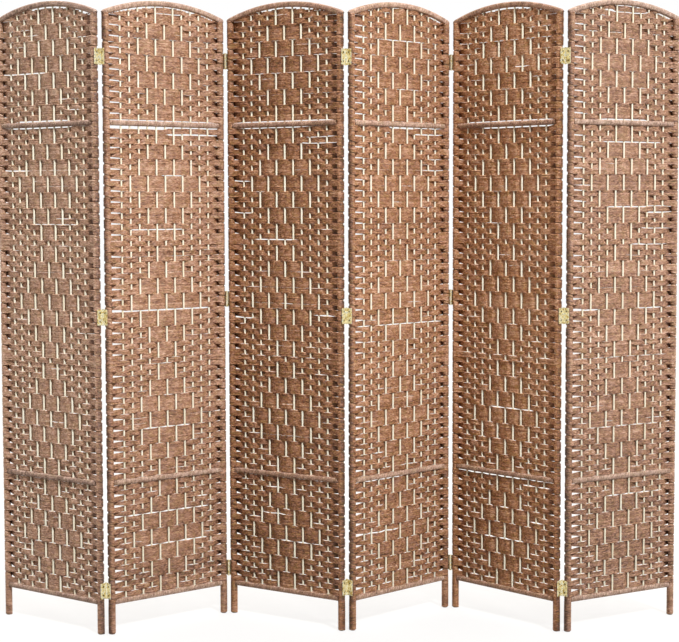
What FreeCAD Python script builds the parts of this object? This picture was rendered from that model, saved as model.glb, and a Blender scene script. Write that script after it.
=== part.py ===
"""Six-panel woven folding screen with arched tops, standing in a zigzag.

Each panel is a wooden frame: two round posts, three round cross rails and a sawn arch rail on top.
Eleven round sticks stand in the frame. Flat bands of paper cord are woven round the sticks, and the
same cord is wound round posts and rails. Brass butt hinges join the panels, with the pin behind and
in front by turns, so that the screen folds up like an accordion.
Millimetres, +Z up, origin on the floor under the middle of the standing screen.
"""

import FreeCAD, Part
import math
import os

Vector = FreeCAD.Vector
X_AXIS = Vector(1, 0, 0)
Y_AXIS = Vector(0, 1, 0)
Z_AXIS = Vector(0, 0, 1)

# Side of a panel on which a joint has its pin
BEHIND = 1
IN_FRONT = -1
NO_HINGE = 0

# Overall sizes
panel_pitch = 400.0  # one panel, from joint to joint
screen_height = 1800.0  # floor to the crown of the arch
arch_rise = 38.0  # crown above the outer shoulders
panel_angles = (-35.0, 37.0, -31.5, 41.5, -44.5, 28.5)  # standing zigzag, degrees from +X

# Wooden frame and sticks
post_core_d = 16.0
rail_core_d = 11.0
leg_height = 84.0  # floor to the wound underside of the bottom rail
lower_weave = 325.0  # height of the bottom weave
upper_weave = 325.0  # height of the top weave below the crown
leg_tip = 2.0  # bare wood below the winding
leg_rounding = 1.8
tenon_shoulder = 1.5
tenon_length = 7.0
stick_count = 11
stick_d = 5.5
stick_pitch = 28.7
stick_socket = 6.0  # depth of a stick in the bottom rail and in the arch rail

# Paper cord
cord_d = 2.5
winding_rounding = 6.0  # long edges of the wound arch rail

# Hinges
hinge_height = 45.0
back_bottom_hinge_z = 125.0  # at joints with the pin behind
back_middle_hinge_z = 905.0
back_top_hinge_drop = 166.0  # crown to the middle of the top hinge
front_bottom_hinge_z = 137.0  # at joints with the pin in front
front_middle_hinge_z = 942.0
front_top_hinge_drop = 160.0
flat_gap = 2.4  # between wound posts when the screen is opened flat
fold_gap = 0.5  # from the face of a wound post to the pin line
leaf_width = 21.0
leaf_thickness = 1.4
leaf_bed = 0.9  # leaf let into the winding
leaf_corner = 2.0
knuckle_d = 6.0
knuckle_count = 3
pin_d = 3.0
pin_head_d = 5.0
pin_head_height = 1.0
screw_d = 2.6
screw_head_d = 5.4
screw_depth = 9.0  # below the leaf
screw_spacing = 25.0
slot_width = 0.7
slot_depth = 0.5

# Clearances
fit = 0.1  # wood joints, sticks, screws and windings
running = 0.05  # pin in its knuckles
soft_gap = 0.3  # weave to frame
knuckle_gap = 0.4  # between knuckles, end to end

# Sizes that follow
post_r = post_core_d / 2
rail_r = rail_core_d / 2
wound_post_r = post_r + cord_d
wound_rail_r = rail_r + cord_d
tenon_r = rail_r - tenon_shoulder
stick_r = stick_d / 2
knuckle_r = knuckle_d / 2
pin_r = pin_d / 2
screw_r = screw_d / 2
screw_head_r = screw_head_d / 2
half_pitch = panel_pitch / 2
shoulder_x = half_pitch - flat_gap / 2
post_x = shoulder_x - wound_post_r
pin_y = wound_post_r + fold_gap
weave_half = stick_r + cord_d
bottom_rail_z = leg_height + wound_rail_r
lower_rail_z = bottom_rail_z + lower_weave + 2 * wound_rail_r
upper_rail_z = screen_height - upper_weave - 3 * wound_rail_r
rail_heights = (bottom_rail_z, lower_rail_z, upper_rail_z)
hinge_heights = {
    BEHIND: (back_bottom_hinge_z, back_middle_hinge_z, screen_height - back_top_hinge_drop),
    IN_FRONT: (front_bottom_hinge_z, front_middle_hinge_z, screen_height - front_top_hinge_drop),
    NO_HINGE: (),
}
stick_places = [(i - (stick_count - 1) / 2) * stick_pitch for i in range(stick_count)]
stick_bottom = bottom_rail_z + rail_r - stick_socket
leaf_inner_x = flat_gap / 2 + leaf_bed
leaf_outer_x = leaf_inner_x - leaf_thickness

# Arcs of the arch, all round one centre
arch_top_r = (shoulder_x**2 + arch_rise**2) / (2 * arch_rise)
arch_centre_z = screen_height - arch_top_r
arch_core_top_r = arch_top_r - cord_d
arch_core_low_r = arch_core_top_r - rail_core_d
arch_low_r = arch_core_low_r - cord_d


def arch_z(radius, x):
    """Height of the arc of this radius at x."""
    return arch_centre_z + math.sqrt(radius**2 - x**2)


def block(x_ends, y_ends, z_ends):
    """Box between the given ends, in either order."""
    low = Vector(min(x_ends), min(y_ends), min(z_ends))
    high = Vector(max(x_ends), max(y_ends), max(z_ends))
    size = high - low
    return Part.makeBox(size.x, size.y, size.z, low)


def rod(radius, start, end):
    """Round bar between two points."""
    along = end - start
    return Part.makeCylinder(radius, along.Length, start, along)


def upright(radius, x, y, z_ends):
    """Round bar standing at x, y."""
    return rod(radius, Vector(x, y, min(z_ends)), Vector(x, y, max(z_ends)))


def level(radius, x_ends, z):
    """Round bar lying along the panel at height z."""
    return rod(radius, Vector(min(x_ends), 0, z), Vector(max(x_ends), 0, z))


def above_arc(radius):
    """Everything above the arc of this radius, to trim what stands under the arch."""
    low = arch_z(radius, shoulder_x) - cord_d
    space = block((-half_pitch, half_pitch), (-panel_pitch, panel_pitch), (low, 2 * screen_height))
    disc = rod(radius, Vector(0, -panel_pitch, arch_centre_z), Vector(0, panel_pitch, arch_centre_z))
    return space.cut(disc)


def arch_band(low_radius, top_radius, end_radius, depth, rounding=0):
    """Arch of square section between two arcs, long edges rounded, with round ends over the posts."""
    low = arch_z(low_radius, shoulder_x) - cord_d
    disc_ends = (Vector(0, -depth / 2, arch_centre_z), Vector(0, depth / 2, arch_centre_z))
    ring = rod(top_radius, *disc_ends).cut(rod(low_radius, *disc_ends))
    band = ring.common(block((-half_pitch, half_pitch), (-depth, depth), (low, 2 * screen_height)))
    if rounding:
        long_edges = [e for e in band.Edges if e.BoundBox.XLength > half_pitch]
        band = band.makeFillet(rounding, long_edges)
    ends = block((-post_x, post_x), (-depth, depth), (low, screen_height))
    for x in (-post_x, post_x):
        ends = ends.fuse(upright(end_radius, x, 0, (low, screen_height)))
    return band.common(ends.removeSplitter()).removeSplitter().Solids[0]


def stick_holes(z_ends):
    """Clearance holes for the row of sticks."""
    return [upright(stick_r + fit, x, 0, z_ends) for x in stick_places]


def stick_top(x):
    """Top end of the stick at x, inside its socket in the arch rail."""
    return arch_z(arch_core_low_r, x) + stick_socket


def screw_heights(face):
    """Heights of the two screws of each hinge leaf on a post, for the joint's pin side."""
    return [z + step for z in hinge_heights[face] for step in (-screw_spacing / 2, screw_spacing / 2)]


def post(side, face):
    """Round wooden post with a tenon for the arch, mortises for the rails and pilot holes for screws."""
    x = side * post_x
    core = upright(post_r, x, 0, (0, screen_height))
    foot = [e for e in core.Edges if e.BoundBox.ZMax < leg_tip]
    core = core.makeFillet(leg_rounding, foot).cut(above_arc(arch_core_low_r - fit))
    seat_z = arch_z(arch_core_low_r, post_x)
    core = core.fuse(upright(tenon_r, x, 0, (seat_z - tenon_length, seat_z + tenon_length)))
    inner_x = side * (post_x - post_r - fit)
    mortise_x = inner_x + side * (tenon_length + 2 * fit)
    cuts = [level(tenon_r + fit, (inner_x, mortise_x), z) for z in rail_heights]
    outer_x = side * (half_pitch - leaf_inner_x)
    tip_x = outer_x - side * (screw_depth + fit)
    cuts += [level(screw_r + fit, (outer_x, tip_x), z) for z in screw_heights(face)]
    return core.cut(cuts).Solids[0]


def post_winding(side, face):
    """Sleeve of cord on a post, open for the rails and let in for the hinge leaves."""
    x = side * post_x
    sleeve = upright(wound_post_r, x, 0, (leg_tip, screen_height))
    rim = [e for e in sleeve.Edges if e.BoundBox.ZMax < 2 * leg_tip]
    sleeve = sleeve.makeFillet(leg_rounding, rim)
    sleeve = sleeve.cut(upright(post_r + fit, x, 0, (0, screen_height + cord_d)))
    sleeve = sleeve.cut(above_arc(arch_low_r - fit))
    inner_x = side * (post_x - wound_post_r - cord_d)
    cuts = [level(rail_r + fit, (inner_x, x), z) for z in rail_heights]
    bed_x = side * (half_pitch - leaf_inner_x - fit / 2)
    free_x = side * half_pitch
    half_bed = hinge_height / 2 + fit
    for z in hinge_heights[face]:
        cuts.append(block((bed_x, free_x), (-pin_y, pin_y), (z - half_bed, z + half_bed)))
    cuts += [level(screw_r + fit, (free_x, x), z) for z in screw_heights(face)]
    return sleeve.cut(cuts).Solids[0]


def cross_rail(z, through):
    """Round rail with a tenon at each end and a hole or a socket for every stick."""
    shoulder = post_x - post_r - fit
    tenon_end = shoulder + tenon_length
    rail = level(rail_r, (-shoulder, shoulder), z)
    rail = rail.fuse(level(tenon_r, (-tenon_end, tenon_end), z))
    low = z - rail_core_d if through else stick_bottom - fit
    return rail.cut(stick_holes((low, z + rail_core_d))).Solids[0]


def rail_winding(z, through):
    """Sleeve of cord on a cross rail, coped to the wound posts."""
    sleeve = level(wound_rail_r, (-post_x, post_x), z)
    cuts = [level(rail_r + fit, (-half_pitch, half_pitch), z)]
    for x in (-post_x, post_x):
        cuts.append(upright(wound_post_r + fit, x, 0, (0, screen_height)))
    reach = wound_rail_r + cord_d
    cuts += stick_holes((z - reach if through else z, z + reach))
    return sleeve.cut(cuts).Solids[0]


def arch_rail():
    """Sawn arch with sockets for the sticks and for the tenons of the posts."""
    rail = arch_band(arch_core_low_r, arch_core_top_r, post_r, rail_core_d)
    tenon_top = arch_z(arch_core_low_r, post_x) + tenon_length + fit
    cuts = [upright(stick_r + fit, x, 0, (upper_rail_z, stick_top(x) + fit)) for x in stick_places]
    cuts += [upright(tenon_r + fit, x, 0, (upper_rail_z, tenon_top)) for x in (-post_x, post_x)]
    return rail.cut(cuts).Solids[0]


def arch_winding():
    """Skin of cord on the arch rail, open below for the sticks and the post tops."""
    skin = arch_band(arch_low_r, arch_top_r, wound_post_r, 2 * wound_rail_r, winding_rounding)
    hollow = arch_band(arch_core_low_r - fit, arch_core_top_r + fit, post_r + fit, rail_core_d + 2 * fit)
    middle_r = (arch_core_low_r + arch_core_top_r) / 2
    cuts = [hollow]
    cuts += [upright(stick_r + fit, x, 0, (upper_rail_z, arch_z(middle_r, x))) for x in stick_places]
    for x in (-post_x, post_x):
        cuts.append(upright(post_r + fit, x, 0, (upper_rail_z, screen_height)).cut(above_arc(middle_r)))
    return skin.cut(cuts).Solids[0]


def sticks():
    """The row of sticks, from the bottom rail to the arch rail."""
    return [upright(stick_r, x, 0, (stick_bottom, stick_top(x))) for x in stick_places]


def weaves():
    """The three woven fields between the rails, as flat slabs pierced by the sticks."""
    half_width = post_x - wound_post_r - soft_gap
    edge = wound_rail_r + soft_gap
    under_arch = above_arc(arch_low_r - soft_gap)
    fields = []
    for low, high in zip(rail_heights, rail_heights[1:] + (screen_height + edge,)):
        z_ends = (low + edge, high - edge)
        field = block((-half_width, half_width), (-weave_half, weave_half), z_ends)
        fields.append(field.cut([under_arch] + stick_holes((low, high))).Solids[0])
    return fields


def knuckle_spans(first):
    """Heights of every second knuckle of a hinge, starting from the given one."""
    length = hinge_height / knuckle_count
    starts = [-hinge_height / 2 + i * length for i in range(knuckle_count)]
    return [(z, z + length) for z in starts[first::2]]


def hinge_leaf(side, face, own_first):
    """Leaf at the origin of its joint: side -1 is left of the joint, face is the side of the pin."""
    pin_line = face * pin_y
    free_y = pin_line - face * leaf_width
    half = hinge_height / 2
    leaf = block((side * leaf_inner_x, side * leaf_outer_x), (free_y, pin_line), (-half, half))
    corners = [e for e in leaf.Edges if e.BoundBox.XLength > leaf_thickness / 2]
    corners = [e for e in corners if abs(e.CenterOfMass.y - free_y) < fit]
    leaf = leaf.makeFillet(leaf_corner, corners)
    for low, high in knuckle_spans(1 - own_first):
        ends = (low - knuckle_gap / 2, high + knuckle_gap / 2)
        leaf = leaf.cut(upright(knuckle_r + knuckle_gap, 0, pin_line, ends))
    for low, high in knuckle_spans(own_first):
        ends = (max(low + knuckle_gap / 2, -half), min(high - knuckle_gap / 2, half))
        leaf = leaf.fuse(upright(knuckle_r, 0, pin_line, ends))
    cuts = [upright(pin_r + running, 0, pin_line, (-hinge_height, hinge_height))]
    for z in (-screw_spacing / 2, screw_spacing / 2):
        cuts.append(screw(side, z, fit))
    return leaf.cut(cuts).Solids[0]


def screw(side, z, growth):
    """Countersunk wood screw through a leaf; growth makes the hole for it."""
    face = Vector(side * leaf_outer_x, 0, z)
    inward = X_AXIS * side
    head = Part.makeCone(screw_head_r + growth, screw_r + growth, leaf_thickness, face, inward)
    shank = Part.makeCylinder(screw_r + growth, leaf_thickness + screw_depth, face, inward)
    body = head.fuse(shank).removeSplitter()
    if growth:
        return body
    slot_x = (side * (leaf_outer_x - slot_depth), side * (leaf_outer_x + slot_depth))
    slot = block(slot_x, (-slot_width / 2, slot_width / 2), (z - screw_head_d, z + screw_head_d))
    return body.cut(slot).Solids[0]


def hinge_pin(face):
    """Pin through the knuckles, with a head at each end."""
    pin_line = face * pin_y
    half = hinge_height / 2 + fit
    pin = upright(pin_r, 0, pin_line, (-half, half))
    for low, high in ((-half - pin_head_height, -half), (half, half + pin_head_height)):
        pin = pin.fuse(upright(pin_head_d / 2, 0, pin_line, (low, high)))
    return pin.removeSplitter().Solids[0]


def pin_face(joint):
    """Side of the pin: behind the first joint, in front of the second, and so on."""
    return BEHIND if joint % 2 == 0 else IN_FRONT


def standing_places():
    """Middle of each panel and each pin line, with the standing screen centred on the origin."""
    middles, pins = [], []
    for index, angle in enumerate(panel_angles):
        turn = FreeCAD.Rotation(Z_AXIS, angle)
        along = turn.multVec(X_AXIS)
        back = turn.multVec(Y_AXIS)
        middle = Vector()
        if index:
            middle = pins[-1] - back * (pin_face(index - 1) * pin_y) + along * half_pitch
        middles.append(middle)
        pins.append(middle + along * half_pitch + back * (pin_face(index) * pin_y))
    pins.pop()
    posts = []
    for middle, angle in zip(middles, panel_angles):
        reach = FreeCAD.Rotation(Z_AXIS, angle).multVec(X_AXIS) * post_x
        posts += [middle - reach, middle + reach]
    xs = [p.x for p in posts]
    ys = [p.y for p in posts]
    centre = Vector((min(xs) + max(xs)) / 2, (min(ys) + max(ys)) / 2, 0)
    return [m - centre for m in middles], [p - centre for p in pins]


def export(name, solids, middle, angle):
    """Writes one node, with its solids set where their panel stands."""
    placed = []
    for solid in solids:
        copy = solid.copy()
        copy.rotate(Vector(), Z_AXIS, angle)
        copy.translate(middle)
        placed.append(copy)
    shape = placed[0] if len(placed) == 1 else Part.makeCompound(placed)
    shape.exportStep(f"parts/{name}.step")


def at_hinges(piece, x, face):
    """Copies of a hinge piece at each hinge height of the joint at x."""
    copies = []
    for z in hinge_heights[face]:
        copy = piece.copy()
        copy.translate(Vector(x, 0, z))
        copies.append(copy)
    return copies


def frame_pieces():
    """Pieces that all panels share, by node, and the posts and their windings for each kind of joint."""
    shared = {
        "arch_rail": [arch_rail()],
        "cross_rails": [cross_rail(z, z != bottom_rail_z) for z in rail_heights],
        "sticks": sticks(),
        "weave": weaves(),
        "cord_windings": [arch_winding()] + [rail_winding(z, z != bottom_rail_z) for z in rail_heights],
    }
    kinds = [(side, face) for side in (-1, 1) for face in (BEHIND, IN_FRONT, NO_HINGE)]
    posts = {kind: post(*kind) for kind in kinds}
    sleeves = {kind: post_winding(*kind) for kind in kinds}
    return shared, posts, sleeves


def hinge_pieces(index, last):
    """Leaves, screws and pins that belong to one panel; the pins are those of the joint on its right."""
    leaves, screws, pins = [], [], []
    for side, joint, own_first, x in ((1, index - 1, 1, -half_pitch), (-1, index, 0, half_pitch)):
        if not 0 <= joint < last:
            continue
        face = pin_face(joint)
        leaves += at_hinges(hinge_leaf(side, face, own_first), x, face)
        for z in (-screw_spacing / 2, screw_spacing / 2):
            screws += at_hinges(screw(side, z, 0), x, face)
        if joint == index:
            pins = at_hinges(hinge_pin(face), x, face)
    return leaves, screws, pins


def main():
    """Writes every node of the screen and prints its pin lines."""
    os.makedirs("parts", exist_ok=True)
    middles, pin_lines = standing_places()
    shared, posts, sleeves = frame_pieces()
    last = len(panel_angles) - 1
    for index, place in enumerate(zip(middles, panel_angles)):
        name = f"panel_{index + 1}"
        left = (-1, pin_face(index - 1) if index > 0 else NO_HINGE)
        right = (1, pin_face(index) if index < last else NO_HINGE)
        export(f"{name}_left_post", [posts[left]], *place)
        export(f"{name}_right_post", [posts[right]], *place)
        for node, solids in shared.items():
            own = [sleeves[left], sleeves[right]] if node == "cord_windings" else []
            export(f"{name}_{node}", solids + own, *place)
        leaves, screws, pins = hinge_pieces(index, last)
        export(f"{name}_hinge_leaves", leaves, *place)
        export(f"{name}_hinge_screws", screws, *place)
        if pins:
            export(f"hinge_pins_{index + 1}_{index + 2}", pins, *place)
    for index, pin in enumerate(pin_lines):
        print(f"pin line {index + 1}-{index + 2}: {pin.x:.3f}, {pin.y:.3f}")


main()
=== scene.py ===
"""Looks of a six-panel woven folding screen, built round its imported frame.

Each panel is dressed in paper cord. Five cords run side by side as one flat band, to and fro between
the posts, in front of and behind the sticks, and wind round a post at every turn. The bands make a
diamond figure. The same band is wound round the cross rails and the arch, single cords round the legs.
Panel points are (along the panel, towards its back, up), in metres, from the middle of its foot line.
"""

import math
from collections import namedtuple
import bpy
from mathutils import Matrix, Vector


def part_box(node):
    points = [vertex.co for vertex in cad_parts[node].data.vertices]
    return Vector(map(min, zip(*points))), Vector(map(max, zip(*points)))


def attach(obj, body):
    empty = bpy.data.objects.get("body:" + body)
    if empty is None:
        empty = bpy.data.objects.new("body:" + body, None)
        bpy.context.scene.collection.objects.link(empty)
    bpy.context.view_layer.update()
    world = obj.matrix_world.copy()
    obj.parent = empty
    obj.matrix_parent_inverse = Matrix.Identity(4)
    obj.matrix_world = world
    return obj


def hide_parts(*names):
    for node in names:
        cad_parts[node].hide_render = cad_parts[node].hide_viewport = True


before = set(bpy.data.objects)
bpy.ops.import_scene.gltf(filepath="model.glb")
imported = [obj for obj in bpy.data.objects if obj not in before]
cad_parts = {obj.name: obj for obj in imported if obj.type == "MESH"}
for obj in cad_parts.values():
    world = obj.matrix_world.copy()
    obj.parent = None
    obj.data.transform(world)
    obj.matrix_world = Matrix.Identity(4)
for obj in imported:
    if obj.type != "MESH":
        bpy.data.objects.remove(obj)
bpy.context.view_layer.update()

from types import SimpleNamespace

import bpy
import numpy as np
from mathutils import Matrix, Vector

MM = 0.001
TURN = 2 * math.pi
UP = np.array([0.0, 0.0, 1.0])
BACK = np.array([0.0, 1.0, 0.0])

# Frame of a panel
panel_count = 6
screen_height = 1800 * MM
arch_rise = 38 * MM
shoulder_x = 198.8 * MM
rail_heights = (92 * MM, 433 * MM, 1451 * MM)
wound_rail_r = 8 * MM
rail_core_r = 5.5 * MM
post_core_r = 8 * MM
stick_count = 11
stick_pitch = 28.7 * MM
leg_tip = 2 * MM  # height at which the winding of a leg starts

# Arch, as arcs round one centre
arch_top_r = (shoulder_x**2 + arch_rise**2) / (2 * arch_rise)
arch_centre_z = screen_height - arch_top_r
arch_low_r = arch_top_r - 2 * wound_rail_r
arch_middle_r = arch_top_r - wound_rail_r

# Paper cord
cord_thick = 2.5 * MM
cord_sides = 4
cords_per_band = 5
cover = 1.2  # a cord is this much wider than its room
cord_lay = 5 * MM  # length of one twist of the cord
streak_lanes = 97  # number of cords after which the streaks repeat
post_cord_r = post_core_r + cord_thick / 2  # from a post's axis to the middle of the cord round it
rail_cord_r = rail_core_r + cord_thick / 2  # from a rail's axis to the middle of the cord round it

# Bands over the sticks and round the posts
front_depth = 3.0 * MM  # how far a band in front of a stick lies from the stick's axis
rear_depth = 4.0 * MM  # how far a band behind a stick lies from the stick's axis
front_flat = 11.0 * MM  # half the length over which a band lies flat in front of a stick
front_level = 0.7  # share of that length before its ends bend back
front_bend = 0.4 * MM  # how far the ends bend back
rear_flat = 3.0 * MM  # half the length over which a band lies flat behind a stick
post_lead = math.radians(16)  # where a band touches the post before its front or back
post_turns = 1.5  # turns round a post between two bands
tail_turns = 0.7  # turns before the first band of a length of cord and after its last band
steps_per_turn = 12
arch_tuck = 2 * MM  # how far a short cord reaches into the arch
end_room = 1 * MM  # least room between the end of a short cord and its next point

# Diamond figure: half width in sticks of each row of three bands, then one plain band
diamond_rows = (1, 2, 3, 4, 3, 2, 1, -1)
bands_per_row = 3
figure_bands = (len(diamond_rows) - 1) * bands_per_row
diamond_period = figure_bands + 1
middle_figures = 3  # figures of the field between the cross rails
short_bands = 3  # bands of the upper field that end under the arch

# Windings
coil_pitch = 3.0 * MM  # room for one cord of a winding
arch_steps = 20  # steps of a turn round the arch
arch_end_room = 1.5 * MM  # how far the arch's winding ends before the shoulder
arch_end_taper = 0.85  # share of the square of the winding's size that is lost towards the shoulder
under_band = 0.35 * MM  # how much deeper a coil under the bands lies than the bands
under_reach = 24 * MM  # how far such a coil reaches up and down

# Band wound round a rail: how round its turns are (1 is a circle, less is squarer), the share of its room
# that stays open, and the width of a cord against its room
Wrap = namedtuple("Wrap", "roundness slit cover")
rail_wrap = Wrap(roundness=0.65, slit=0.06, cover=1.1)
arch_wrap = Wrap(roundness=0.6, slit=0.0, cover=1.4)

# Tones, where more is paler. The cord of each panel against the usual batch: how much paler it is, and
# how strong its colour. Both stand partly for the batch and partly for painted light and shade on each
# panel; the weaker colours stand for a painted sheen.
batch_tones_and_painted_light = (0.22, 0.04, -0.12, -0.03, 0.24, -0.06)
batch_colours_and_painted_sheen = (0.9, 0.97, 1.07, 1.04, 1.11, 0.93)
low_tone = -0.26  # how much darker the cord is near the floor
low_start = 900 * MM  # height at which it starts to darken on the way down
low_span = 600 * MM  # height over which it does
leg_tone = -0.35  # how much darker it is on the legs
rail_colour = 0.8  # how strong the colour of the cord is on rails and arch
# Odd panels face away from the key light, so their rails and arch get painted shade.
painted_rail_shades = {1: -0.3, 0: 0.0}  # how much darker, by painted shade, it is there on odd and even panels

# Left to chance: a pair holds the ends of an even draw, one value is the spread of a normal one
first_seed = 100  # the draws of a panel are seeded with this plus its number
band_shift = 0.2 * MM  # how far a band lies off its level
band_squeeze = (0.96, 1.0)  # how close its cords lie
band_tone_ends = (0.38, 0.62)  # for each band of a weave
cord_depth = 0.15 * MM  # how far a cord lies in front of its band or behind it
cord_tone = 0.15  # how far a cord's tone is off its band's
wave_height = 0.12 * MM  # how far a cord waves up and down, from a phase left to chance
wave_reach = 23 * MM  # way along the band on which this wave turns by one radian
coil_tone_ends = (0.35, 1.0)  # for each turn round a post
wrap_tone_ends = (0.55, 0.85)  # for each cord round a rail
bands_per_small_gap = 4
small_gap_start = (-190 * MM, 130 * MM)  # along the panel, from its middle
small_gap_length = (18 * MM, 60 * MM)
small_gap_give = (0.3 * MM, 0.8 * MM)  # how far the bands on each side move

# Bands at a post: their width in front of it, their width behind it and how far they slant there, all in
# band heights; for those that pass behind it, their width at the last stick and the painted shade that
# darkens them in the recess at the post. By side, left (-1) or right (1), for odd (1) and even (0) panels.
PostFit = namedtuple("PostFit", "front_width rear_width slant stick_width recess_tone")
at_posts = {
    (-1, 1): PostFit(1.1, 0.8, 0.15, 1.0, -1.0),
    (-1, 0): PostFit(0.97, 0.66, 0.2, 0.82, 0.0),
    (1, 1): PostFit(1.2, 0.8, 0.0, 1.0, -1.7),
    (1, 0): PostFit(1.2, 0.8, 0.0, 1.0, -0.7),
}

# Joints: how the windings of two posts that face each other stand out and darken by painted shade, and the
# heights of the hinges, where the windings stay flat, at joints with the pin behind (1) and in front (0)
joint_swell = 0.9 * MM
swell_fade = 20 * MM  # height over which the windings come to stand out
# painted shade on the windings where they face the gap to the next panel
painted_joint_tone = -0.9
painted_joint_tone_start = 0.4  # sine of the angle round the post at which the painted shade starts
painted_joint_tone_span = 0.45  # how much more it is where the painted shade is full
hinge_heights = {1: (125 * MM, 905 * MM, 1634 * MM), 0: (137 * MM, 942 * MM, 1640 * MM)}
hinge_room = 32 * MM  # from the middle of a hinge to where the windings start to stand out

# Gaps that stand open in the weave, by panel and field: the band above the gap (-1 is the rail or arch),
# the sticks where it starts and ends (0 and 12 are the posts) and its height in mm
gap_fade = 12 * MM  # length over which a gap closes at each end
gap_reach = 4  # bands over which a gap is taken up
open_gaps = {
    (1, "upper"): [
        (-1, 4, 8.8, 4.3), (-1, 10.7, 11.8, 9.5), (11, 0.3, 6, 2.7), (16, 7.7, 9, 2.0), (20, 2, 9, 2.7),
    ],
    (1, "middle"): [(-1, 1, 9, 2.4), (7, 0.3, 3, 2.2), (17, 4, 10, 1.6)],
    (1, "lower"): [(12, 1.3, 3, 2.2)],
    (2, "upper"): [(-1, 0.6, 9.6, 4.6), (-1, 10.2, 11.8, 5.4), (0, 5, 8, 3.2), (20, 0, 12, 1.6)],
    (2, "middle"): [
        (-1, -1, 6, 7.5), (-1, 6, 13, 6.5), (0, 6.2, 13, 6.0), (2, 8, 12, 2.7), (8, 5.7, 8, 2.7),
        (18, 2, 8, 2.7), (33, 0, 11, 3.4), (55, 3, 8.5, 2.0),
    ],
    (2, "lower"): [(5, 1.2, 11, 2.4), (11, 3, 10.5, 2.4)],
    (3, "upper"): [(-1, 3.4, 9.3, 4.6), (0, 4.7, 6.5, 2.2), (20, 0.5, 11.5, 1.9)],
    (3, "middle"): [
        (-1, 1, 11, 1.6), (1, 8.6, 11.6, 2.4), (2, 8, 12, 2.7), (9, 0, 1.5, 2.4), (15, 0, 2, 2.2),
        (20, 2.6, 7, 2.2), (34, 9.6, 12, 3.0), (35, 0, 2, 2.7),
    ],
    (3, "lower"): [(6, 3.7, 6.2, 2.0), (11, 4.5, 9.5, 1.6)],
    (4, "upper"): [(-1, 4.8, 6.4, 1.4), (-1, 10.4, 11.8, 9.5), (5, 3.5, 9, 1.8)],
    (4, "middle"): [
        (-1, 4.8, 11.5, 4.1), (0, 8, 11.6, 4.1), (5, 10, 12, 2.2), (7, 9.4, 11.8, 2.2),
        (36, 3, 12, 2.4), (36, 0, 2, 2.2),
    ],
    (4, "lower"): [(-1, 1, 6, 1.9), (9, 0.3, 5.6, 2.4)],
    (5, "upper"): [(-1, 3.3, 8.8, 4.1), (10, 7, 8.7, 2.0), (20, 1, 12, 1.6)],
    (5, "middle"): [(-1, 3, 11.5, 3.0), (52, 4, 9.5, 2.2)],
    (5, "lower"): [(-1, 0.5, 12, 2.2), (0, 8, 11.5, 2.4), (7, 9.6, 11, 1.9), (11, 3.3, 8, 1.6)],
    (6, "upper"): [(-1, 4.8, 8.6, 4.1), (-1, 10.4, 11.8, 9.5), (0, 3.5, 9, 3.4), (20, 3, 9, 2.7)],
    (6, "middle"): [
        (2, 3.5, 10.5, 2.2), (10, 0, 2, 2.4), (14, 4, 12, 3.2), (15, 9, 12, 4.1), (18, 8.3, 12, 3.0),
        (21, 7, 11.5, 2.4), (33, 0.3, 3, 3.2), (33, 8, 11, 2.4), (55, 2, 12, 2.0),
    ],
    (6, "lower"): [(2, 3.8, 11, 1.9)],
}

# Finishes. A shade of the cord is its place on the ramp and its colour.
cord_shades = (
    (0.0, (0.03, 0.012, 0.006)),
    (0.333, (0.158, 0.06, 0.03)),
    (0.6, (0.372, 0.172, 0.089)),
    (0.8, (0.54, 0.284, 0.163)),
    (1.0, (0.744, 0.493, 0.344)),
)
tone_weight = 0.35  # how much the cord's tone counts in its shade
streak_weight = 1.7
patch_weight = 0.55
cord_shade_ends = (0.74, 1.58)  # weighted sum of tone, streaks and patches at the first and last shade
olive_patch = (0.4, 0.25, 0.1, 1)
pink_patch = (0.56, 0.335, 0.25, 1)
patch_start = 0.5  # noise from which the cord turns olive upwards and pink downwards
olive_full = 0.72  # noise at which it is most olive
olive_most = 0.5  # share of the olive there
pink_full = 0.28
pink_most = 0.45
frame_colours = ((0.4, 0.24, 0.14), (0.25, 0.13, 0.07))  # pale and dark
stick_colours = ((1.0, 0.96, 0.8), (0.93, 0.83, 0.6))
brass_colours = ((0.62, 0.47, 0.16), (0.95, 0.85, 0.5), (1.0, 0.97, 0.8))  # dark, middle and pale
# Screws: near black brass, painted shade for the dark holes and heads of the screws
screw_colours_painted_shade = ((0.05, 0.035, 0.01), (0.1, 0.075, 0.02), (0.22, 0.17, 0.06))
twist_height = 0.3 * MM  # how high the twist of the cord stands
grain_height = 0.3 * MM
brush_height = 0.1 * MM

# Studio. The light from all round grows from the front to the sides: how far towards the back (-1 to 1)
# its direction is where it starts to grow and where it is full, and its strength at these two places.
white = (1, 1, 1, 1)
fill_colour = (1, 0.93, 0.84, 1)
fill_growth = (-0.65, -0.3, 0.12, 1.85)
gloss_growth = (-0.45, -0.15, 0.3, 1.0)
key_energy = 9900
key_tint = (0.97, 1.0, 1.03)
key_cone = math.radians(12)
key_widening = 3  # how much wider than high its cone is
key_size = 1.0  # radius of the lamp, which softens its shadow
key_side = math.radians(32)  # how far round to the right it stands
key_height = math.radians(45)  # angle above the level at which it stands
key_distance = 14.0  # from the lamp to its target
key_target = Vector((-0.25, 0, 1.2))
floor_half = 12.0
floor_grey = (0.2, 0.2, 0.2, 1)
floor_glow = 0.74  # light that the floor adds to the eye, so that it shows as white

# Camera
camera_place = (0.0048, -4.4587, 1.2271)
camera_pitch = math.radians(3.54)
camera_roll = math.radians(-0.151)
camera_sensor = 36.0
camera_lens = 81.53  # in mm, like the sensor
camera_shift = -0.035


def post_axis(node):
    """Where the axis of an upright post stands, seen from above: the middle of its box."""
    low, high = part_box(node)
    return np.array((low + high) / 2)[:2]


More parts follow.
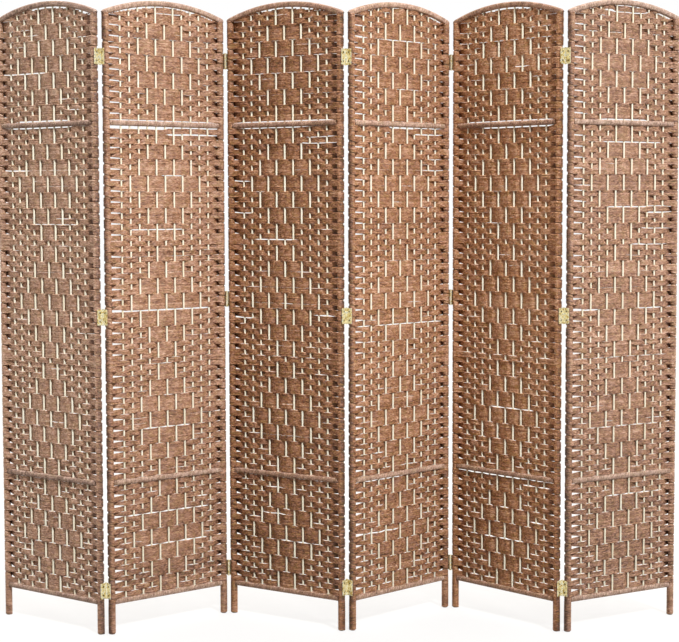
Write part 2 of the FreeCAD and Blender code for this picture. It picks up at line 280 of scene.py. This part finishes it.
def panel_frame(number):
    """Where a panel stands: the axes of its two posts give its middle, its direction and its back."""
    body = f"panel_{number}"
    left = post_axis(f"{body}_left_post")
    right = post_axis(f"{body}_right_post")
    span = np.linalg.norm(right - left)
    along = (right - left) / span
    return SimpleNamespace(
        number=number,
        body=body,
        middle=(left + right) / 2,
        along=along,
        back=np.array([-along[1], along[0]]),
        post_x=span / 2,
    )


def stand(panel, points):
    """Panel points set where the panel stands: middle + x * along + y * back, with z as it is."""
    flat = panel.middle + points[..., :1] * panel.along + points[..., 1:2] * panel.back
    return np.concatenate([flat, points[..., 2:]], axis=-1)


def unit(vectors):
    """Vectors of length one."""
    return vectors / np.linalg.norm(vectors, axis=-1, keepdims=True)


def way_along(path):
    """Length along a path up to each of its points."""
    steps = np.linalg.norm(np.diff(path, axis=0), axis=1)
    return np.concatenate([[0], np.cumsum(steps)])


def strand(path, wide, tone, out=None, strength=1.0):
    """One cord: the path of its middle, its width, its tone, the side that faces out (level and square to
    the path, if none is given) and the strength of its colour."""
    tangent = unit(np.gradient(path, axis=0))
    if out is None:
        out = np.cross(UP, tangent)
    out = unit(out - (out * tangent).sum(-1, keepdims=True) * tangent)
    across = np.cross(tangent, out)
    return SimpleNamespace(path=path, out=out, across=across, wide=wide, tone=tone, strength=strength)


def cord_surface(cord):
    """Surface of a cord: ring i, side m is path[i] + thick/2 cos(a) out[i] + wide/2 sin(a) across[i],
    with a = m * TURN / sides. One quad closes each end of the four-sided cord. Returns the points, the
    quads, and for each corner of a quad its length along the cord and its turn round it."""
    angle = np.arange(cord_sides) * TURN / cord_sides
    across = cord.across * cord.wide / 2
    ring = np.cos(angle)[:, None] * cord.out[:, None] * cord_thick / 2
    ring = ring + np.sin(angle)[:, None] * across[:, None]
    points = (cord.path[:, None] + ring).reshape(-1, 3)
    spans = len(cord.path) - 1
    row = np.arange(spans)[:, None] * cord_sides
    side = np.arange(cord_sides)[None]
    after = (side + 1) % cord_sides
    quads = np.stack([row + side, row + after, row + cord_sides + after, row + cord_sides + side], -1)
    quads = np.concatenate([quads.reshape(-1, 4), side[:, ::-1], side + spans * cord_sides])
    length = way_along(cord.path)
    start = np.broadcast_to(length[:-1, None], (spans, cord_sides))
    end = np.broadcast_to(length[1:, None], (spans, cord_sides))
    turn = np.broadcast_to(side / cord_sides, (spans, cord_sides))
    next_turn = turn + 1 / cord_sides
    corners = np.stack([start, turn, start, next_turn, end, next_turn, end, turn], -1)
    caps = np.zeros((2, cord_sides, 2))
    caps[1, :, 0] = length[-1]
    return points, quads, np.concatenate([corners.reshape(-1, 2), caps.reshape(-1, 2)])


def cord_piece(name, panel, cords, material):
    """Mesh of several cords of one panel, with a UV map (length along the cord, turn round it plus the
    cord's lane) and attributes for the tone and the strength of the colour, which carry painted shade
    and painted sheen as well."""
    points, quads, corners = [], [], []
    count = 0
    for index, cord in enumerate(cords):
        surface, faces, places = cord_surface(cord)
        points.append(surface)
        quads.append(faces + count)
        corners.append(places + [0, index % streak_lanes])
        count += len(surface)
    points = stand(panel, np.concatenate(points))
    quads = np.concatenate(quads)
    mesh = bpy.data.meshes.new(name)
    mesh.vertices.add(count)
    mesh.vertices.foreach_set("co", points.astype(np.float32).ravel())
    mesh.loops.add(quads.size)
    mesh.loops.foreach_set("vertex_index", quads.astype(np.int32).ravel())
    mesh.polygons.add(len(quads))
    mesh.polygons.foreach_set("loop_start", np.arange(0, quads.size, 4, dtype=np.int32))
    mesh.update(calc_edges=True)
    mesh.shade_smooth()
    uv = mesh.uv_layers.new(name="cord")
    uv.data.foreach_set("uv", np.concatenate(corners).astype(np.float32).ravel())
    tone = np.concatenate([np.repeat(cord.tone, cord_sides) for cord in cords])
    strength = np.repeat([cord.strength for cord in cords], [len(cord.path) * cord_sides for cord in cords])
    # A panel's weaker colour strength stands partly for painted sheen.
    values = {"tone": tone, "strength": strength * batch_colours_and_painted_sheen[panel.number - 1]}
    for key, value in values.items():
        mesh.attributes.new(key, "FLOAT", "POINT").data.foreach_set("value", value.astype(np.float32))
    mesh.materials.append(material)
    piece = bpy.data.objects.new(name, mesh)
    bpy.context.scene.collection.objects.link(piece)
    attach(piece, panel.body)
    return piece


def band_sides(count):
    """Side of each band at each stick, (bands, sticks): 1 behind the stick, -1 in front of it.
    Bands change sides from stick to stick and from band to band. In the middle band of a figure row,
    the sticks within the row's half width keep the side of the bands above and below."""
    band = np.arange(count)[:, None]
    stick = np.arange(1, stick_count + 1)[None]
    side = np.where((band + stick) % 2 == 1, 1, -1)
    step = band % diamond_period
    half_width = np.array(diamond_rows)[step // bands_per_row]
    middle_band = step % bands_per_row == bands_per_row // 2
    kept = middle_band & (abs(stick - (stick_count + 1) // 2) <= half_width)
    return np.where(kept, -side, side)


def behind_post(band):
    """True if a band passes behind the posts: every second one, but not the plain ones."""
    return (band % 2 == 1) & (band % diamond_period != figure_bands)


def band_level(top, pitch, band):
    """Height of the middle of a band, counted from the top of its field."""
    return top - (band + 0.5) * pitch


def cord_offset(index, step):
    """How far a cord lies above the middle of its band, for cords that lie a step apart."""
    return ((cords_per_band - 1) / 2 - index) * step


def stick_stretch(sides, rightward):
    """Points (x, y) of one band over the sticks. In front of a stick it is flat at front_depth, and its
    two ends bend back by front_bend. Behind a stick it is flat at rear_depth, over a shorter length."""
    x = (np.arange(stick_count) - (stick_count - 1) / 2) * stick_pitch
    front = sides[:, None] < 0
    front_along = front_flat * np.array([-1, -front_level, front_level, 1])
    rear_along = rear_flat * np.array([-1, 0, 0, 1])
    along = np.where(front, front_along, rear_along)
    deep = np.where(front, front_bend * np.array([1, 0, 0, 1]) - front_depth, rear_depth)
    kept = front | (along != 0)
    points = np.stack([(x[:, None] + along)[kept], deep[kept]], 1)
    return points if rightward else points[::-1]


def joint_at(panel, side):
    """Number of the joint at a panel's left (-1) or right (1) post, or None at the ends of the screen."""
    number = panel.number if side > 0 else panel.number - 1
    return number if 0 < number < panel_count else None


def swell(panel, side, outward, z):
    """How far a winding stands out from its post: joint_swell times the square of the sine of its angle,
    on the half that faces the next panel, and nothing at a hinge."""
    joint = joint_at(panel, side)
    if joint is None:
        return 0 * z
    away = np.min([abs(z - height) for height in hinge_heights[joint % 2]], axis=0)
    return joint_swell * np.clip(outward, 0, 1) ** 2 * np.clip((away - hinge_room) / swell_fade, 0, 1)


def painted_joint_shade(panel, side, outward):
    """Painted shade on a winding: how much darker it is, by the sine of its angle, on the side that faces
    the next panel, where the gap between the posts is in shade.
    """
    if joint_at(panel, side) is None:
        return 0 * outward
    return painted_joint_tone * np.clip((outward - painted_joint_tone_start) / painted_joint_tone_span, 0, 1)


def low_shade(z):
    """How much darker the cord is at a height: nothing above low_start, all of it low_span further down."""
    return low_tone * np.clip((low_start - z) / low_span, 0, 1)


def post_fit(panel, side):
    """How the bands lie at a panel's left (-1) or right (1) post."""
    return at_posts[side, panel.number % 2]


def post_turn(panel, side, angles, heights):
    """Winding round a post: x = side (post_x + r sin a), y = -r cos a, while z goes evenly from the
    first height to the second. The angle is 0 in front, a quarter turn outside, half a turn behind."""
    z = np.linspace(*heights, len(angles))
    r = post_cord_r + swell(panel, side, np.sin(angles), z)
    return np.stack([side * (panel.post_x + r * np.sin(angles)), -r * np.cos(angles), z], 1)


def turn_angles(from_behind):
    """Angles of a band's winding round a post, from where it meets the post to where it leaves it."""
    steps = int(post_turns * steps_per_turn) + 2
    sweep = np.linspace(-post_lead, post_turns * TURN + post_lead, steps)
    return TURN / 2 - sweep if from_behind else sweep


def weave_runs(first, count):
    """Bands that one length of cord makes: all the bands of a figure, or one plain band by itself."""
    edges = {first, count}
    edges.update(range(figure_bands, count, diamond_period))
    edges.update(range(diamond_period, count, diamond_period))
    edges = sorted(edges)
    return [range(*ends) for ends in zip(edges, edges[1:])]


def band_path(panel, top, pitch, bands):
    """Middle line of the woven band through the given bands, from the top down, with its windings.
    A band that passes behind the posts comes to them a little high and leaves them a little low.
    Returns the points and the band of each point."""
    sides = band_sides(max(bands) + 1)
    levels = {band: band_level(top, pitch, band) for band in bands}
    slant = {side: post_fit(panel, side).slant * pitch for side in (-1, 1)}
    points, numbers = [], []

    def lay(stretch, band):
        points.append(stretch)
        numbers.append(np.full(len(stretch), band))

    first, last = bands[0], bands[-1]
    behind = behind_post(first)
    side = 1 if first % 2 else -1
    start = levels[first] - (slant[side] if behind else 0)
    angles = np.linspace(tail_turns * TURN, -post_lead, steps_per_turn)
    angles = TURN / 2 - angles if behind else angles
    lay(post_turn(panel, side, angles, (start + tail_turns * pitch, start)), first)
    for band in bands:
        rightward = band % 2 == 0
        stretch = stick_stretch(sides[band], rightward)
        lay(np.concatenate([stretch, np.full((len(stretch), 1), levels[band])], 1), band)
        side = 1 if rightward else -1
        behind = behind_post(band)
        start = levels[band] + (slant[side] if behind else 0)
        if band == last:
            angles = np.linspace(-post_lead, tail_turns * TURN, steps_per_turn)
            lay(post_turn(panel, side, angles, (start, start - tail_turns * pitch)), band)
        else:
            end = levels[band + 1] - (slant[side] if behind_post(band + 1) else 0)
            lay(post_turn(panel, side, turn_angles(behind), (start, end)), band)
    return np.concatenate(points), np.concatenate(numbers)


def field_gaps(panel, field, count, pitch, rng):
    """Gaps of a woven field, the open ones and some small ones left to chance: the band above, where
    the gap starts and ends, and how far the bands give way. At a rail only one side can."""
    gaps = []
    lap = (cover - 1) * pitch / cords_per_band
    middle_stick = (stick_count + 1) / 2
    for above, start, end, height in open_gaps[panel.number, field]:
        opening = height * MM + lap
        give = opening if above in (-1, count - 1) else opening / 2
        gaps.append((above, (start - middle_stick) * stick_pitch, (end - middle_stick) * stick_pitch, give))
    for above in rng.integers(0, count - 1, count // bands_per_small_gap):
        start = rng.uniform(*small_gap_start)
        end = start + rng.uniform(*small_gap_length)
        gaps.append((above, start, end, rng.uniform(*small_gap_give)))
    return gaps


def gap_field(gaps, x, bands):
    """How far each point of a band moves up or down to open the gaps: what the gap needs next to it,
    less in the bands further off, and fading out at the gap's two ends."""
    move = np.zeros(len(x))
    for above, start, end, give in gaps:
        inside = np.clip((x - start) / gap_fade + 0.5, 0, 1) * np.clip((end - x) / gap_fade + 0.5, 0, 1)
        away = np.where(bands <= above, above - bands, bands - above - 1)
        share = np.clip(1 - away / gap_reach, 0, 1)
        move += np.where(bands <= above, give, -give) * share * inside
    return move


def post_lie(panel, path, numbers):
    """How the points of a band lie at the posts: their width and how far they move up, in band heights, and
    the painted shade in the recess behind a post and on the side facing the next panel. The width goes from
    front_width to rear_width with the depth round a post. A band that passes behind the post has
    stick_width past the last stick, with its top kept."""
    x, y = path[:, 0], path[:, 1]
    at_post = abs(x) > panel.post_x - post_core_r - cord_thick
    outward = (abs(x) - panel.post_x) / post_cord_r
    behind = 0.5 + y / (2 * post_cord_r)
    last_stick = (stick_count - 1) / 2 * stick_pitch
    width, lift, shade = np.ones(len(path)), np.zeros(len(path)), np.zeros(len(path))
    for side in (-1, 1):
        fit = post_fit(panel, side)
        here = at_post & (x * side > 0)
        leaving = ~at_post & (x * side > last_stick) & behind_post(numbers)
        width = np.where(here, fit.front_width + (fit.rear_width - fit.front_width) * behind, width)
        width = np.where(leaving, fit.stick_width, width)
        lift = np.where(leaving, (1 - fit.stick_width) / 2, lift)
        # Painted shade: darker where the band lies in the recess behind the post, out of the light.
        shade += np.where(here & (outward < 0) & (y > 0), fit.recess_tone, 0)
        # Painted shade on the side that faces the next panel.
        shade += np.where(here, painted_joint_shade(panel, side, outward), 0)
    return width, lift, shade


def woven_cords(panel, top, pitch, bands, gaps, rng):
    """The five cords of a woven band: its middle line, each cord a step further down, with small
    differences from band to band and from cord to cord."""
    path, numbers = band_path(panel, top, pitch, bands)
    count = max(bands) + 2  # a draw for each band from the top of the field down, and one to spare
    step = pitch / cords_per_band
    path[:, 2] += gap_field(gaps, path[:, 0], numbers)
    shift = rng.normal(0, band_shift, count)[numbers]
    squeeze = rng.uniform(*band_squeeze, count)[numbers]
    band_tone = batch_tones_and_painted_light[panel.number - 1] + rng.uniform(*band_tone_ends, count)[numbers]
    width, lift, shade = post_lie(panel, path, numbers)
    band_tone += low_shade(path[:, 2]) + shade
    path[:, 2] += lift * pitch
    cords = []
    for index in range(cords_per_band):
        phase = rng.uniform(0, TURN, count)[numbers]
        wave = np.sin(path[:, 0] / wave_reach + phase) * wave_height
        depth = rng.normal(0, cord_depth, count)[numbers]
        line = path.copy()
        line[:, 2] += cord_offset(index, step) * squeeze * width + shift + wave
        line[:, 1] += depth
        tone = band_tone + rng.normal(0, cord_tone, count)[numbers]
        cords.append(strand(line, step * cover * width[:, None], tone))
    return cords


def short_cords(panel, top, pitch, bands, gaps, rng):
    """Cords of the bands above the shoulders of the arch, which end under it: each cord reaches to
    the x where its height meets the arch, sqrt(r^2 - (z - centre)^2)."""
    sides = band_sides(len(bands))
    step = pitch / cords_per_band
    cords = []
    for band in bands:
        tone = batch_tones_and_painted_light[panel.number - 1] + rng.uniform(*band_tone_ends)
        stretch = stick_stretch(sides[band], True)
        for index in range(cords_per_band):
            z = band_level(top, pitch, band) + cord_offset(index, step)
            reach = math.sqrt(max(arch_low_r**2 - (z - arch_centre_z) ** 2, 0)) + arch_tuck
            reach = min(reach, panel.post_x - post_core_r)
            xs = np.concatenate([[-reach], stretch[abs(stretch[:, 0]) < reach - end_room, 0], [reach]])
            ys = np.interp(xs, stretch[:, 0], stretch[:, 1])
            zs = z + gap_field(gaps, xs, np.full(len(xs), band))
            cords.append(strand(np.stack([xs, ys, zs], 1), step * cover, np.full(len(xs), tone)))
    return cords


def turn_tones(angle, rng):
    """Tone of a wound cord, which differs from turn to turn."""
    turn = (angle / TURN).astype(int)
    return rng.uniform(*coil_tone_ends, turn.max() + 1)[turn]


def post_coil(panel, side, low, high, rng, r=post_cord_r, tone=0.0):
    """Cord wound round a post from low to high: a helix of the cord's pitch."""
    turns = (high - low) / coil_pitch
    angle = np.linspace(0, turns * TURN, int(turns * steps_per_turn))
    out = np.stack([np.cos(angle), np.sin(angle), 0 * angle], 1)
    z = low + angle / TURN * coil_pitch
    outward = side * out[:, 0]
    path = out * (r + swell(panel, side, outward, z))[:, None]
    path += np.stack([side * panel.post_x + 0 * angle, 0 * angle, z], 1)
    # Painted shade where the winding faces the next panel.
    tone = tone + turn_tones(angle, rng) + painted_joint_shade(panel, side, outward)
    return strand(path, coil_pitch * cover, tone, out)


def wound_band(panel, middle, up, size, wrap, rng):
    """The five cords of a band wound round a rail. With s the way along the rail and the turn
    a = phase - TURN s / pitch, a cord runs at middle + size (C back + S up), where C and S are the
    cosine and sine of a raised to the wrap's roundness, signs kept."""
    way = way_along(middle)
    cords = []
    for index in range(cords_per_band):
        phase = index * (1 - wrap.slit) / cords_per_band
        angle = TURN * (phase - way / (cords_per_band * coil_pitch))
        cos, sin = np.cos(angle)[:, None], np.sin(angle)[:, None]
        depth = np.sign(cos) * abs(cos) ** wrap.roundness
        rise = np.sign(sin) * abs(sin) ** wrap.roundness
        path = middle + size[:, None] * (depth * BACK + rise * up)
        # Painted shade on the rails and arch of the odd panels.
        tone = np.full(len(path), rng.uniform(*wrap_tone_ends) + painted_rail_shades[panel.number % 2])
        cords.append(strand(path, coil_pitch * wrap.cover, tone, cos * BACK + sin * up, rail_colour))
    return cords


def winding_steps(length, per_turn):
    """Number of points along a wound band that covers this length."""
    return int(length / (cords_per_band * coil_pitch) * per_turn) + 1


def rail_winding(panel, z, rng):
    """Band wound round a cross rail, from post to post, flattened in front and behind."""
    reach = panel.post_x - post_cord_r
    x = np.linspace(-reach, reach, winding_steps(2 * reach, steps_per_turn))
    middle = np.stack([x, 0 * x, z + 0 * x], 1)
    return wound_band(panel, middle, UP, np.full(len(x), rail_cord_r), rail_wrap, rng)


def arch_winding(panel, rng):
    """Band wound round the arch from end to end: a rounded square that shrinks to a small end over each
    post, by sqrt(1 - taper b^2) with b going from 0 over the post's axis to 1 at the shoulder."""
    half_arc = math.asin((shoulder_x - arch_end_room) / arch_middle_r)
    place = np.linspace(-half_arc, half_arc, winding_steps(2 * half_arc * arch_middle_r, arch_steps))
    beyond = (abs(arch_middle_r * np.sin(place)) - panel.post_x) / (shoulder_x - panel.post_x)
    size = rail_cord_r * np.sqrt(1 - arch_end_taper * np.clip(beyond, 0, 1) ** 2)
    radial = np.stack([np.sin(place), 0 * place, np.cos(place)], 1)
    middle = radial * arch_middle_r + arch_centre_z * UP
    return wound_band(panel, middle, radial, size, arch_wrap, rng)


def finish(name, roughness, metallic=0.0):
    """New material, with its node tree and its shader."""
    material = bpy.data.materials.new(name)
    material.use_nodes = True
    shader = material.node_tree.nodes["Principled BSDF"]
    shader.inputs["Roughness"].default_value = roughness
    shader.inputs["Metallic"].default_value = metallic
    return material, material.node_tree, shader


def add(tree, kind, settings=None, **inputs):
    """New node of a tree, with its settings by name and its inputs by name or, after an underscore, by
    number. A socket is linked, a value set."""
    node = tree.nodes.new(kind)
    for name, value in (settings or {}).items():
        setattr(node, name, value)
    for name, value in inputs.items():
        socket = node.inputs[int(name[1:])] if name[1:].isdigit() else node.inputs[name]
        if isinstance(value, bpy.types.NodeSocket):
            tree.links.new(value, socket)
        else:
            socket.default_value = value
    return node


def ramp(tree, factor, *stops):
    """Colour ramp over a factor, with stops (place, colour)."""
    node = add(tree, "ShaderNodeValToRGB", Fac=factor)
    elements = node.color_ramp.elements
    while len(elements) < len(stops):
        elements.new(0.5)
    for element, (place, colour) in zip(elements, stops):
        element.position = place
        element.color = (*colour, 1)
    return node.outputs["Color"]


def stretched_noise(tree, coordinates, stretch, **inputs):
    """Noise over coordinates that are multiplied by three factors."""
    mapping = add(tree, "ShaderNodeMapping", Vector=coordinates, Scale=stretch)
    return add(tree, "ShaderNodeTexNoise", Vector=mapping.outputs["Vector"], **inputs).outputs["Fac"]


def between(tree, value, start, end, first=0.0, last=1.0):
    """Value that goes from first to last while another one goes from start to end."""
    node = add(tree, "ShaderNodeMapRange", Value=value, _1=start, _2=end, _3=first, _4=last)
    return node.outputs["Result"]


def patched(tree, colour, share, patch):
    """Colour mixed with a share of a patch's colour."""
    return add(tree, "ShaderNodeMix", {"data_type": "RGBA"}, _0=share, _6=colour, _7=patch).outputs[2]


def sum_of(tree, *terms):
    """Weighted sum of factors, from pairs (factor, weight)."""
    total = 0.0
    for factor, weight in terms:
        node = add(tree, "ShaderNodeMath", {"operation": "MULTIPLY_ADD"}, _0=factor, _1=weight, _2=total)
        total = node.outputs["Value"]
    return total


def relief(tree, shader, height, strength, distance):
    """Bump of a shader from a height."""
    bump = add(tree, "ShaderNodeBump", Height=height, Strength=strength, Distance=distance)
    tree.links.new(bump.outputs["Normal"], shader.inputs["Normal"])


def paper_cord_material():
    """Twisted brown paper cord: tan to red brown from band to band, streaked along each cord, with
    olive and pinkish patches and a fine twist."""
    material, tree, shader = finish("paper_cord", roughness=0.46)
    along = add(tree, "ShaderNodeUVMap", {"uv_map": "cord"}).outputs["UV"]
    place = add(tree, "ShaderNodeTexCoord").outputs["Object"]
    tone = add(tree, "ShaderNodeAttribute", {"attribute_name": "tone"}).outputs["Fac"]
    streak = stretched_noise(tree, along, stretch=(110, 2.3, 1), Scale=1.0, Detail=3.0, Roughness=0.6)
    patch = stretched_noise(tree, place, stretch=(1, 1, 1.8), Scale=42.0, Detail=2.0)
    shade = sum_of(tree, (tone, tone_weight), (streak, streak_weight), (patch, patch_weight))
    colour = ramp(tree, between(tree, shade, *cord_shade_ends), *cord_shades)
    hue = stretched_noise(tree, place, stretch=(1, 1, 2.5), Scale=60.0, Detail=1.0)
    olive = between(tree, hue, patch_start, olive_full, last=olive_most)
    colour = patched(tree, colour, olive, olive_patch)
    pink = between(tree, hue, patch_start, pink_full, last=pink_most)
    colour = patched(tree, colour, pink, pink_patch)
    strength = add(tree, "ShaderNodeAttribute", {"attribute_name": "strength"}).outputs["Fac"]
    # Weaker colour of a panel stands partly for painted sheen.
    batch_and_sheen = add(tree, "ShaderNodeHueSaturation", Color=colour, Saturation=strength)
    tree.links.new(batch_and_sheen.outputs["Color"], shader.inputs["Base Color"])
    parts = add(tree, "ShaderNodeSeparateXYZ", Vector=along)
    twist = sum_of(tree, (parts.outputs["X"], TURN / cord_lay), (parts.outputs["Y"], TURN))
    wave = add(tree, "ShaderNodeMath", {"operation": "SINE"}, _0=twist).outputs["Value"]
    relief(tree, shader, wave, strength=0.35, distance=twist_height)
    return material


def wood_material(name, pale, dark, roughness):
    """Wood with upright grain, between a pale and a darker colour."""
    material, tree, shader = finish(name, roughness)
    place = add(tree, "ShaderNodeTexCoord").outputs["Object"]
    grain = stretched_noise(tree, place, stretch=(420, 420, 9), Scale=1.0, Detail=4.0, Roughness=0.6)
    knots = stretched_noise(tree, place, stretch=(30, 30, 3), Scale=1.0, Detail=2.0)
    shade = sum_of(tree, (grain, 0.7), (knots, 0.5))
    colour = ramp(tree, shade, (0.4, dark), (0.68, pale))
    tree.links.new(colour, shader.inputs["Base Color"])
    relief(tree, shader, grain, strength=0.2, distance=grain_height)
    return material


def brass_material(name, dark, mid, pale):
    """Brass, brushed and tarnished, clouded between three colours, rougher where it is darker."""
    material, tree, shader = finish(name, roughness=0.3, metallic=0.55)
    place = add(tree, "ShaderNodeTexCoord").outputs["Object"]
    cloud = stretched_noise(tree, place, stretch=(150, 150, 150), Scale=1.0, Detail=3.0)
    brushed = stretched_noise(tree, place, stretch=(300, 300, 2500), Scale=1.0, Detail=2.0)
    colour = ramp(tree, cloud, (0.4, dark), (0.46, mid), (0.6, pale))
    tree.links.new(colour, shader.inputs["Base Color"])
    rough = between(tree, cloud, start=0.3, end=0.6, first=0.5, last=0.24)
    tree.links.new(rough, shader.inputs["Roughness"])
    relief(tree, shader, brushed, strength=0.15, distance=brush_height)
    return material


def woven_fields():
    """Top, foot and number of bands of each woven field of a panel, by name."""
    bottom, lower, upper = rail_heights
    return {
        "lower": (lower - wound_rail_r, bottom + wound_rail_r, figure_bands),
        "middle": (upper - wound_rail_r, lower + wound_rail_r, middle_figures * diamond_period - 1),
        "upper": (arch_centre_z + arch_low_r, upper + wound_rail_r, figure_bands),
    }


def weave_panel(panel, material, rng):
    """The three weaves of a panel, in place of its woven fields."""
    for name, (top, foot, count) in woven_fields().items():
        pitch = (top - foot) / count
        first = short_bands if name == "upper" else 0
        gaps = field_gaps(panel, name, count, pitch, rng)
        cords = short_cords(panel, top, pitch, range(first), gaps, rng)
        for bands in weave_runs(first, count):
            cords += woven_cords(panel, top, pitch, bands, gaps, rng)
        piece = cord_piece(f"{panel.body}_{name}_weave", panel, cords, material)
        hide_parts(f"{panel.body}_weave")


def wind_panel(panel, material, rng):
    """The windings of a panel, in place of its cord sleeves: round the arch, the rails and the legs, and
    round the posts under the bands at the rails, at the arch and between the diamonds."""
    bottom, lower, upper = rail_heights
    top, foot, count = woven_fields()["middle"]
    pitch = (top - foot) / count
    plain_bands = [band_level(top, pitch, band) for band in range(figure_bands, count, diamond_period)]
    shoulder = screen_height - arch_rise - wound_rail_r - under_reach
    under_r = post_cord_r - under_band
    coils = arch_winding(panel, rng)
    for z in rail_heights:
        coils += rail_winding(panel, z, rng)
    for side in (-1, 1):
        coils.append(post_coil(panel, side, leg_tip, bottom + wound_rail_r, rng, tone=leg_tone))
        for z in (lower, upper, shoulder, *plain_bands):
            coils.append(post_coil(panel, side, z - under_reach, z + under_reach, rng, under_r))
    piece = cord_piece(f"{panel.body}_windings", panel, coils, material)
    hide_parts(f"{panel.body}_cord_windings")


def dress_frame():
    """Finishes of the frame, the sticks and the hinges."""
    wood = wood_material("frame_wood", *frame_colours, roughness=0.6)
    stick = wood_material("stick_wood", *stick_colours, roughness=0.5)
    brass = brass_material("brass", *brass_colours)
    # Screws get near black brass: painted shade of their holes and heads.
    screws = brass_material("screw_brass_painted_shade", *screw_colours_painted_shade)
    for name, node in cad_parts.items():
        if name.endswith("screws"):
            look = screws
        elif "hinge" in name:
            look = brass
        elif name.endswith("sticks"):
            look = stick
        else:
            look = wood
        node.data.materials.clear()
        node.data.materials.append(look)


def light_round(tree, colour, backward, growth):
    """Light from all round, whose strength grows from the front to the sides."""
    strength = between(tree, backward, *growth)
    return add(tree, "ShaderNodeBackground", Color=colour, Strength=strength).outputs[0]


def studio_world():
    """World: a warm fill that is weaker from the front, a white one like it for gloss, and plain white
    to the eye."""
    world = bpy.data.worlds.new("studio")
    bpy.context.scene.world = world
    world.use_nodes = True
    tree = world.node_tree
    ray = add(tree, "ShaderNodeLightPath").outputs
    direction = add(tree, "ShaderNodeTexCoord").outputs["Generated"]
    backward = add(tree, "ShaderNodeSeparateXYZ", Vector=direction).outputs["Y"]
    look = light_round(tree, fill_colour, backward, fill_growth)
    gloss = light_round(tree, white, backward, gloss_growth)
    paper = add(tree, "ShaderNodeBackground", Color=white, Strength=1.0).outputs[0]
    for kind, shown in (("Is Glossy Ray", gloss), ("Is Camera Ray", paper), ("Is Transmission Ray", paper)):
        look = add(tree, "ShaderNodeMixShader", _0=ray[kind], _1=look, _2=shown).outputs[0]
    tree.links.new(look, tree.nodes["World Output"].inputs["Surface"])


def key_light():
    """Soft spot from high on the right, which stands back from its target along its aim."""
    key = bpy.data.lights.new("key", "SPOT")
    key.energy = key_energy
    key.spot_size = key_cone
    key.spot_blend = 1.0
    key.shadow_soft_size = key_size
    key.color = key_tint
    lamp = bpy.data.objects.new("key", key)
    bpy.context.scene.collection.objects.link(lamp)
    level = math.cos(key_height)
    aim = Vector((-math.sin(key_side) * level, math.cos(key_side) * level, -math.sin(key_height)))
    across = (Vector((1, 0, 0)) - aim.x * aim).normalized()
    turn = Matrix((across, aim.cross(across) * -1, -aim)).transposed().to_4x4()
    place = Matrix.Translation(key_target - aim * key_distance)
    lamp.matrix_world = place @ turn @ Matrix.Diagonal((key_widening, 1, 1, 1))


def seen_rays(tree):
    """Factor of 1 on rays that show a thing to the eye: from the camera, by a gloss or through glass."""
    ray = add(tree, "ShaderNodeLightPath").outputs
    seen = ray["Is Camera Ray"]
    for kind in ("Is Glossy Ray", "Is Transmission Ray"):
        seen = add(tree, "ShaderNodeMath", {"operation": "MAXIMUM"}, _0=seen, _1=ray[kind]).outputs["Value"]
    return seen


def studio_floor():
    """White floor that keeps the shadow."""
    mesh = bpy.data.meshes.new("floor")
    corners = floor_half * np.array([(-1, -1, 0), (1, -1, 0), (1, 1, 0), (-1, 1, 0)])
    mesh.from_pydata(corners.tolist(), [], [(0, 1, 2, 3)])
    floor = bpy.data.objects.new("floor", mesh)
    bpy.context.scene.collection.objects.link(floor)
    paper, tree, shader = finish("floor_paper", roughness=0.9)
    shader.inputs["Base Color"].default_value = floor_grey
    shader.inputs["Specular IOR Level"].default_value = 0.0
    shader.inputs["Emission Color"].default_value = white
    glow = add(tree, "ShaderNodeMath", {"operation": "MULTIPLY"}, _0=seen_rays(tree), _1=floor_glow)
    tree.links.new(glow.outputs["Value"], shader.inputs["Emission Strength"])
    mesh.materials.append(paper)


def photo_camera():
    """Camera at the photograph's angle."""
    data = bpy.data.cameras.new("camera")
    data.sensor_width = camera_sensor
    data.lens = camera_lens
    data.shift_y = camera_shift
    camera = bpy.data.objects.new("camera", data)
    bpy.context.scene.collection.objects.link(camera)
    turn = Matrix.Rotation(math.pi / 2 - camera_pitch, 4, "X") @ Matrix.Rotation(camera_roll, 4, "Z")
    camera.matrix_world = Matrix.Translation(camera_place) @ turn
    bpy.context.scene.camera = camera


bpy.context.scene.view_settings.view_transform = "Standard"
paper_cord = paper_cord_material()
for number in range(1, panel_count + 1):
    panel = panel_frame(number)
    rng = np.random.default_rng(first_seed + number)
    weave_panel(panel, paper_cord, rng)
    wind_panel(panel, paper_cord, rng)
dress_frame()
studio_world()
key_light()
studio_floor()
photo_camera()
